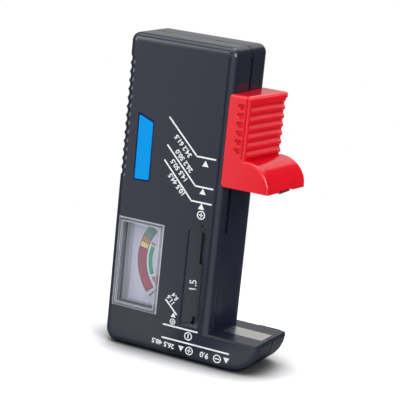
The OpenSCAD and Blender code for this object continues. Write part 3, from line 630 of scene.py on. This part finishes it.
def numerals(text, x, z, height, y, turn, bold=FIGURE_BOLD, slope=0.0):
    """Plain figures turned anticlockwise, on a face that slopes back to the right, in degrees."""
    deselect()
    bpy.ops.object.text_add(location=(0, 0, 0))
    o = bpy.context.object
    o.data.body = text
    o.data.size = height * MM * FONT_SIZE
    o.data.offset = bold * MM
    o.data.align_x = "CENTER"
    o.data.align_y = "CENTER"
    o.data.resolution_u = 4
    bpy.ops.object.convert(target="MESH")
    o = bpy.context.object
    o.matrix_world = (Matrix.Translation(at(x, y, z)) @ Matrix.Rotation(radians(slope), 4, "Z")
                      @ Matrix.Rotation(pi / 2, 4, "X") @ Matrix.Rotation(radians(turn), 4, "Z"))
    return o


def print_parts(parts, name, material, film=None):
    """Raises flat faces by the film's height, joins them and settles them as one piece."""
    film = film if film is not None else sizes().film
    for p in parts:
        raise_film(p, film)
    return settled(joined(parts), name, material)


def signed(x, z, plus, r=1.5, w=0.38, turn=0.0):
    """A plus or a minus in a ring on the front."""
    arm = r * 0.56
    parts = [ring(x, z, r, w, FRONT)]
    c, t = arm * cos(turn), arm * sin(turn)
    parts.append(stroke((x - c, z - t), (x + c, z + t), w * MM, FRONT))
    if plus:
        parts.append(stroke((x + t, z - c), (x - t, z + c), w * MM, FRONT))
    return parts


def arrow(x, z, r=1.4, down=False):
    """A three-sided arrow on the front, pointing up unless down is set."""
    return disc(x, z, r, FRONT, sides=3, turn=(pi if down else 0.0))


# ---------------------------------------------------------------- operators

def floor_finish():
    """Pale plain floor: it keeps the tester's shadow, has a painted contact shadow close under it,
    and goes white further out.
    """
    m, t, bsdf = blank("pale_floor")
    bsdf.inputs["Roughness"].default_value = 0.5
    bsdf.inputs["Specular IOR Level"].default_value = 0.2
    place = node(t, "ShaderNodeTexCoord").outputs["Object"]
    flat = node(t, "ShaderNodeVectorMath", operation="LENGTH")
    t.links.new(place, flat.inputs[0])
    far = node(t, "ShaderNodeMapRange", interpolation_type="SMOOTHSTEP")
    far.inputs["From Min"].default_value = WHITE_FROM
    far.inputs["From Max"].default_value = WHITE_BY
    t.links.new(flat.outputs["Value"], far.inputs["Value"])
    rays = node(t, "ShaderNodeLightPath")
    seen = maths(t, "MAXIMUM", rays.outputs["Is Camera Ray"], rays.outputs["Is Transmission Ray"])

    # a painted contact shadow makes it darker close under the tester; it is also dull to the light
    # that bounces off it
    contact = node(t, "ShaderNodeAmbientOcclusion", samples=8)
    contact.inputs["Distance"].default_value = 0.016
    contact_shadow_mask = node(t, "ShaderNodeMapRange")
    contact_shadow_mask.inputs["From Min"].default_value = 0.4
    contact_shadow_mask.inputs["From Max"].default_value = 0.95
    t.links.new(contact.outputs["AO"], contact_shadow_mask.inputs["Value"])
    pale = (0.86, 0.86, 0.87)
    shaded = mixed(t, contact_shadow_mask.outputs["Result"], (0.10, 0.10, 0.105), pale)
    bounced = mixed(t, rays.outputs["Is Diffuse Ray"], pale, (0.55, 0.55, 0.56))
    t.links.new(shaded.outputs["Result"], bounced.inputs["A"])
    t.links.new(bounced.outputs["Result"], bsdf.inputs["Base Color"])

    white, glow, mirrored = (node(t, "ShaderNodeEmission") for _ in range(3))
    # the glow to the camera fades out in the painted contact shadow
    lit = maths(t, "MULTIPLY", contact_shadow_mask.outputs["Result"], 0.34)
    t.links.new(maths(t, "MULTIPLY", seen, lit), glow.inputs["Strength"])
    near = node(t, "ShaderNodeAddShader")
    t.links.new(bsdf.outputs[0], near.inputs[0])
    t.links.new(glow.outputs[0], near.inputs[1])
    mix = node(t, "ShaderNodeMixShader")
    t.links.new(maths(t, "MULTIPLY", seen, far.outputs["Result"]), mix.inputs["Fac"])
    t.links.new(near.outputs[0], mix.inputs[1])
    t.links.new(white.outputs[0], mix.inputs[2])

    # glossy surfaces see the room's flags in the floor as well
    tone = grouped(t, room_tone())
    t.links.new(place, tone.inputs["Toward"])
    lift = node(t, "ShaderNodeMix", data_type="RGBA", blend_type="ADD")
    lift.inputs["B"].default_value = (0.15, 0.15, 0.15, 1)
    t.links.new(maths(t, "SUBTRACT", 1.0, far.outputs["Result"]), lift.inputs["Factor"])
    t.links.new(tone.outputs["Tone"], lift.inputs["A"])
    t.links.new(lift.outputs["Result"], mirrored.inputs["Color"])
    # the floor's reflection also darkens in the painted contact shadow
    t.links.new(contact_shadow_mask.outputs["Result"], mirrored.inputs["Strength"])
    hide = node(t, "ShaderNodeMixShader")
    t.links.new(rays.outputs["Is Glossy Ray"], hide.inputs["Fac"])
    t.links.new(mix.outputs[0], hide.inputs[1])
    t.links.new(mirrored.outputs[0], hide.inputs[2])
    t.links.new(hide.outputs[0], t.nodes["Material Output"].inputs["Surface"])
    return m


def studio_world():
    """White to the camera, the room's flags to glossy faces, and soft plain light to the rest."""
    world = bpy.data.worlds.new("studio")
    world.use_nodes = True
    w = world.node_tree
    w.nodes.clear()
    dim, gloss, white = (node(w, "ShaderNodeBackground") for _ in range(3))
    dim.inputs["Color"].default_value = (0.95, 0.97, 1.0, 1)
    dim.inputs["Strength"].default_value = 0.30
    tone = grouped(w, room_tone())
    w.links.new(node(w, "ShaderNodeTexCoord").outputs["Generated"], tone.inputs["Toward"])
    w.links.new(tone.outputs["Tone"], gloss.inputs["Color"])
    rays = node(w, "ShaderNodeLightPath")
    seen = maths(w, "MAXIMUM", rays.outputs["Is Camera Ray"], rays.outputs["Is Transmission Ray"])
    first, mix = node(w, "ShaderNodeMixShader"), node(w, "ShaderNodeMixShader")
    w.links.new(rays.outputs["Is Glossy Ray"], first.inputs["Fac"])
    w.links.new(dim.outputs[0], first.inputs[1])
    w.links.new(gloss.outputs[0], first.inputs[2])
    w.links.new(seen, mix.inputs["Fac"])
    w.links.new(first.outputs[0], mix.inputs[1])
    w.links.new(white.outputs[0], mix.inputs[2])
    w.links.new(mix.outputs[0], node(w, "ShaderNodeOutputWorld").inputs["Surface"])
    return world


def add_lamp(name, place, aim, size, power):
    deselect()
    bpy.ops.object.light_add(type="AREA", location=place)
    o = bpy.context.object
    o.name = name
    o.data.shape = "RECTANGLE"
    o.data.size, o.data.size_y = size
    o.data.energy = power
    o.rotation_euler = (Vector(aim) - Vector(place)).to_track_quat("-Z", "Y").to_euler()


def add_camera(scene):
    az, el, roll = radians(AZIMUTH), radians(ELEVATION), radians(ROLL)
    back = Vector((sin(az) * cos(el), -cos(az) * cos(el), sin(el)))
    place = at(*TARGET) + back * DISTANCE
    level = (-back).cross(Vector((0, 0, 1))).normalized()
    upright = level.cross(-back)
    right = level * cos(roll) + upright * sin(roll)
    up = upright * cos(roll) - level * sin(roll)
    data = bpy.data.cameras.new("camera")
    cam = bpy.data.objects.new("camera", data)
    scene.collection.objects.link(cam)
    cam.matrix_world = Matrix.Translation(place) @ Matrix((right, up, back)).transposed().to_4x4()
    data.sensor_width = SENSOR
    data.lens = LENS
    data.clip_start, data.clip_end = 0.01, 20.0
    scene.camera = cam


class TESTER_OT_stage(bpy.types.Operator):
    """Adds the floor, the lamps, the world and the camera"""
    bl_idname = "tester.stage"
    bl_label = "Stage"

    def execute(self, context):
        scene = context.scene
        scene.view_settings.view_transform = "Standard"
        deselect()
        bpy.ops.mesh.primitive_plane_add(size=FLOOR_SIZE, location=(0, 0, 0))
        floor = context.object
        floor.name = "stage_floor"
        floor.data.materials.append(floor_finish())
        scene.world = studio_world()
        for lamp in LAMPS:
            add_lamp(*lamp)
        add_camera(scene)
        return {"FINISHED"}


class TESTER_OT_finishes(bpy.types.Operator):
    """Gives each carried-over piece its finish"""
    bl_idname = "tester.finishes"
    bl_label = "Finishes"

    def execute(self, context):
        c = colours()
        case = moulded("case_plastic", tuple(c.case), 0.21, rub=0.12)
        slide = moulded("slide_plastic", tuple(c.slide), 0.16, grain_scale=1500.0,
                        depth=0.004 * MM, rub=0.15, spread=0.03, level=0.7)
        # painted sheen and painted shade in the slide's finger grooves
        painted_groove_light(slide, GROOVES_FROM, GROOVE_PAINTED_SHEEN, GROOVE_PAINTED_SHADE)
        looks = {
            "front_shell": case, "rear_shell": case, "slider": slide,
            "meter_cover": clear_plastic("clear_acrylic"),
            "scale_plate": printed("scale_paint", tuple(c.scale), 0.55),
            "meter_frame": moulded("frame_plastic", (0.05, 0.05, 0.055), 0.5),
            "circuit_board": moulded("board_laminate", (0.06, 0.20, 0.09), 0.4,
                                     grain_scale=1800.0),
            "slide_carriage": moulded("carrier_plastic", (0.72, 0.70, 0.62), 0.4),
            "load_resistor_a": moulded("resistor_tan", (0.62, 0.50, 0.32), 0.3, rub=0.1),
            "load_resistor_b": moulded("resistor_blue", (0.10, 0.22, 0.42), 0.3, rub=0.1),
            "pointer": printed("pointer_paint", (0.02, 0.02, 0.022), 0.5),
        }
        tin = metal("nickelled_strip", (0.84, 0.83, 0.80), 0.20, (0.62, 0.59, 0.54))
        brass = metal("brass_strip", (0.80, 0.62, 0.30), 0.24, (0.52, 0.36, 0.16))
        steel = metal("screw_steel", (0.66, 0.66, 0.67), 0.28, (0.42, 0.41, 0.40))
        for name in ("slider_contact", "foot_contact", "end_contact_plus", "end_contact_minus"):
            looks[name] = tin
        # painted shade: the cell leaves are darkened to match the shade of the trough they sit in,
        # so they show no glint
        looks["cell_leaf_upper"] = looks["cell_leaf_lower"] = metal(
            "darkened_leaf_strip", (0.12, 0.12, 0.13), 0.4, (0.05, 0.05, 0.05))
        for name in ("wiper_spring", "bus_rail", "foot_link", "hairspring", "front_bearing",
                     "rear_bearing"):
            looks[name] = brass
        for name in ("contact_rivet", "carriage_pin_upper", "carriage_pin_lower", "case_screw_top",
                     "case_screw_low", "pointer_shaft"):
            looks[name] = steel
        looks["iron_ring"] = metal("ring_iron", (0.50, 0.50, 0.51), 0.35, (0.30, 0.29, 0.28))
        looks["core_magnet"] = metal("magnet_alloy", (0.34, 0.34, 0.36), 0.45, (0.2, 0.2, 0.21))
        looks["core_bar"] = metal("bar_aluminium", (0.76, 0.77, 0.78), 0.3, (0.6, 0.6, 0.62))
        looks["moving_coil"] = metal("coil_wire", (0.62, 0.28, 0.12), 0.3, (0.35, 0.15, 0.06))
        for name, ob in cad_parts.items():
            if name not in looks:
                raise RuntimeError("no finish for " + name)
            ob.data.materials.clear()
            ob.data.materials.append(looks[name])
        return {"FINISHED"}


class TESTER_OT_size_marks(bpy.types.Operator):
    """Prints the cell-length marks, their arrows and signs on the front"""
    bl_idname = "tester.size_marks"
    bl_label = "Size marks"

    def execute(self, context):
        ink = printed("white_ink", tuple(colours().ink))
        w = sizes().line
        for z, bend, far, under, name in CELL_MARKS:
            parts = [stroke((bend - 0.1, z), (MARK_RIGHT, z), w, FRONT),
                     stroke(far, (bend + 0.1, z + 0.05), w, FRONT), arrow(33.45, z - under)]
            print_parts(parts, "mark_" + name, ink)
        numbers = [numerals(text, x, z, FIGURE_HEIGHT, FRONT, turn=135.5)
                   for text, x, z in CELL_FIGURES]
        print_parts(numbers, "numbers_cells", ink)
        print_parts(signed(33.69, 52.19, True, r=1.55), "sign_upper_plus", ink)
        print_parts([stroke((23.3, 11.3), (37.0, 11.3), w, FRONT)]
                    + signed(33.47, 9.15, False, turn=pi / 2), "mark_foot_minus", ink)
        return {"FINISHED"}


class TESTER_OT_end_marks(bpy.types.Operator):
    """Prints the marks for the end contacts and the button-cell trough"""
    bl_idname = "tester.end_marks"
    bl_label = "End marks"

    def execute(self, context):
        ink = printed("white_ink", tuple(colours().ink))
        w = sizes().line
        print_parts([stroke((23.3, 6.55), (49.6, 6.55), w, FRONT)], "mark_end_line", ink)
        parts = signed(34.4, 4.05, True) + signed(45.3, 3.85, False)
        parts += [arrow(31.2, 4.45, r=1.3, down=True), arrow(48.8, 4.35, r=1.3, down=True)]
        # the block battery's voltage, and its width and height in millimetres
        parts.append(numerals("9.0", 40.3, 4.0, 2.0, FRONT, turn=176))
        parts.append(numerals("26.5 48.5", 24.0, 4.45, FIGURE_HEIGHT, FRONT, turn=176))
        print_parts(parts, "mark_end_signs", ink)
        print_parts([stroke((23.4, 20.3), (28.3, 15.6), w, FRONT), arrow(27.0, 15.1, r=1.1)]
                    + signed(26.95, 12.95, True, r=1.08, w=0.32), "mark_trough", ink)
        # a button cell's diameter and height in millimetres
        button = [numerals("11.6", 25.5, 20.4, 1.6, FRONT, turn=136, bold=0.07),
                  numerals("5.4", 27.0, 21.9, 1.6, FRONT, turn=136, bold=0.07)]
        print_parts(button, "numbers_button_cell", ink)
        x = 32.6
        y = TROUGH_Y + (x - TROUGH_X) * tan(radians(TROUGH_SLOPE))
        number = numerals("1.5", x, 26.8, 2.5, y, turn=90, bold=0.07, slope=TROUGH_SLOPE)
        print_parts([number], "number_trough", ink)
        # a fibre strip closes the leaf's slot behind the trough's floor
        fibre = moulded("slot_fibre", (0.045, 0.045, 0.05), 0.5)
        print_parts([stroke((34.95, 34.4), (34.95, 46.4), 2.4 * MM, 3.7)], "slot_strip", fibre,
                    film=0.35 * MM)
        return {"FINISHED"}


class TESTER_OT_panel_strip(bpy.types.Operator):
    """Adds the plain blue panel with its dark border"""
    bl_idname = "tester.panel_strip"
    bl_label = "Blue panel"

    def execute(self, context):
        c = colours()
        # corners as x and z, the film in millimetres
        outer = ((6.05, 83.4), (12.5, 80.95), (12.75, 59.9), (6.3, 59.4))
        inner = ((6.65, 82.4), (12.15, 80.35), (12.35, 60.4), (6.85, 60.0))
        for name, pts, mat, film in (
                ("panel_border", outer, printed("panel_dark_blue", tuple(c.panel_edge), 0.5, 0.1),
                 0.03),
                ("panel_face", inner, printed("panel_blue", tuple(c.panel), 0.5, 0.1), 0.05)):
            deselect()
            bpy.ops.mesh.primitive_plane_add(size=1, location=(0, 0, 0))
            o = context.object
            corners = sorted(o.data.vertices, key=lambda v: atan2(v.co.y, v.co.x))
            order = (pts[3], pts[2], pts[1], pts[0])
            for v, (x, z) in zip(corners, order):
                v.co = at(x, 0, z)
            bpy.ops.object.mode_set(mode="EDIT")
            bpy.ops.mesh.select_all(action="SELECT")
            bpy.ops.mesh.bevel(offset=0.45 * MM, segments=4, affect="VERTICES")
            bpy.ops.object.mode_set(mode="OBJECT")
            print_parts([o], name, mat, film=film * MM)
        return {"FINISHED"}


def sector(r0, r1, a0, a1):
    """A flat arc band on the plate: a short edge swept round the pointer's axis."""
    deselect()
    bpy.ops.mesh.primitive_plane_add(size=1, location=(0, 0, 0))
    o = bpy.context.object
    bpy.ops.object.mode_set(mode="EDIT")
    bpy.ops.mesh.select_all(action="SELECT")
    bpy.ops.mesh.delete(type="ONLY_FACE")
    bpy.ops.object.mode_set(mode="OBJECT")
    me = o.data
    keep = [v.index for v in me.vertices][:2]
    centre = at(AXIS_X, PLATE_Y, AXIS_Z)

    def rim(r, a):
        return centre + Vector((-cos(radians(a)), 0, sin(radians(a)))) * (r * MM)

    me.vertices[keep[0]].co = rim(r0, a0)
    me.vertices[keep[1]].co = rim(r1, a0)
    bpy.ops.object.mode_set(mode="EDIT")
    bpy.ops.mesh.select_mode(type="VERT")
    bpy.ops.object.mode_set(mode="OBJECT")
    for v in me.vertices:
        v.select = v.index not in keep
    bpy.ops.object.mode_set(mode="EDIT")
    bpy.ops.mesh.delete(type="VERT")
    bpy.ops.mesh.select_all(action="SELECT")
    bpy.ops.mesh.edge_face_add()
    bpy.ops.mesh.spin(steps=ARC_STEPS, angle=radians(a1 - a0), center=centre, axis=(0, -1, 0))
    bpy.ops.mesh.select_all(action="SELECT")
    bpy.ops.mesh.remove_doubles(threshold=1e-7)
    bpy.ops.mesh.normals_make_consistent(inside=False)
    bpy.ops.object.mode_set(mode="OBJECT")
    return o


class TESTER_OT_meter_bezel(bpy.types.Operator):
    """Adds a grey step round the plate behind the clear cap, as painted shade of the cap's walls
    """
    bl_idname = "tester.meter_bezel"
    bl_label = "Meter wall shade"

    def execute(self, context):
        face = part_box("scale_plate")[0][1] / MM + ORIGIN_Y
        deselect()
        bpy.ops.mesh.primitive_plane_add(size=1, location=(0, 0, 0))
        o = context.object
        bpy.ops.object.mode_set(mode="EDIT")
        bpy.ops.mesh.select_all(action="SELECT")
        bpy.ops.mesh.inset(thickness=0.2, depth=0)
        bpy.ops.mesh.delete(type="FACE")
        bpy.ops.object.mode_set(mode="OBJECT")
        for v in o.data.vertices:
            low, high = WALL_SHADE_INNER if abs(v.co.x) < 0.4 else WALL_SHADE_OUTER
            v.co = at(low[0] if v.co.x < 0 else high[0], face, low[1] if v.co.y < 0 else high[1])
        raise_film(o, WALL_SHADE_RISE)
        bevel = o.modifiers.new("edge", "BEVEL")
        bevel.width = 0.12 * MM
        bevel.segments = 2
        bpy.ops.object.modifier_apply(modifier=bevel.name)
        # the grey streaked step is painted shade of the cap's walls on the plate's edges
        settled(o, "meter_bezel", painted_wall_streaks("wall_shade_grey", (0.40, 0.41, 0.49)))
        return {"FINISHED"}


class TESTER_OT_meter_print(bpy.types.Operator):
    """Prints the coloured bands on the meter's plate"""
    bl_idname = "tester.meter_print"
    bl_label = "Meter print"

    def execute(self, context):
        c = colours()
        dark = printed("band_outline", (0.16, 0.13, 0.15), 0.5)
        white = printed("band_white", (0.86, 0.88, 0.90), 0.5)
        low = printed("band_low", tuple(c.low), 0.5)
        low2 = printed("band_low_bright", (0.46, 0.13, 0.15), 0.5)
        mid = printed("band_middle", tuple(c.middle), 0.5)
        edge = printed("band_orange", (0.46, 0.30, 0.20), 0.5)
        good = printed("band_good", tuple(c.good), 0.5)
        bright = printed("band_good_bright", (0.09, 0.38, 0.26), 0.5)
        # name, inner and outer radius, start and end in degrees, ink, film in millimetres
        rows = (("outline_outer", 15.7, 19.3, -40.8, 37.6, dark, 0.02),
                ("band_red", 15.95, 19.05, -40.0, 9.0, low, 0.03),
                ("band_red_low", 16.5, 18.5, -38.5, -24.0, low2, 0.04),
                ("band_yellow", 15.95, 19.05, 10.4, 16.5, mid, 0.03),
                ("band_amber", 15.95, 19.05, 17.4, 23.2, edge, 0.03),
                ("band_green", 15.95, 19.05, 24.0, 36.8, good, 0.03),
                ("outline_inner", 13.0, 15.4, -25.5, 17.8, white, 0.02),
                ("band_green_inner", 13.35, 15.0, -24.0, 16.8, bright, 0.03),
                ("band_amber_inner", 13.6, 15.2, 18.6, 22.3, edge, 0.03),
                ("band_red_inner", 12.2, 14.6, -43.0, -28.0, low, 0.03))
        for name, r0, r1, a0, a1, mat, film in rows:
            print_parts([sector(r0, r1, a0, a1)], name, mat, film=film * MM)
        return {"FINISHED"}


class TESTER_PT_panel(bpy.types.Panel):
    """Lists the tester's sizes, colours and steps"""
    bl_idname = "TESTER_PT_panel"
    bl_label = "Battery tester"
    bl_space_type = "VIEW_3D"
    bl_region_type = "UI"
    bl_category = "Tester"

    def draw(self, context):
        col = self.layout.column()
        for group in (context.scene.tester_sizes, context.scene.tester_colours):
            for key in group.bl_rna.properties.keys():
                if key not in ("rna_type", "name"):
                    col.prop(group, key)
        for cls in STEPS:
            col.operator(cls.bl_idname)


STEPS = (TESTER_OT_stage, TESTER_OT_finishes, TESTER_OT_size_marks, TESTER_OT_end_marks,
         TESTER_OT_panel_strip, TESTER_OT_meter_bezel, TESTER_OT_meter_print)
CLASSES = (TesterColours, TesterSizes) + STEPS + (TESTER_PT_panel,)


def register():
    for cls in CLASSES:
        bpy.utils.register_class(cls)
    bpy.types.Scene.tester_colours = bpy.props.PointerProperty(type=TesterColours)
    bpy.types.Scene.tester_sizes = bpy.props.PointerProperty(type=TesterSizes)


def unregister():
    del bpy.types.Scene.tester_sizes
    del bpy.types.Scene.tester_colours
    for cls in reversed(CLASSES):
        bpy.utils.unregister_class(cls)


def main():
    register()
    bpy.ops.tester.stage()
    bpy.ops.tester.finishes()
    bpy.ops.tester.size_marks()
    bpy.ops.tester.end_marks()
    bpy.ops.tester.panel_strip()
    bpy.ops.tester.meter_bezel()
    bpy.ops.tester.meter_print()
    deselect()


if __name__ == "__main__":
    main()
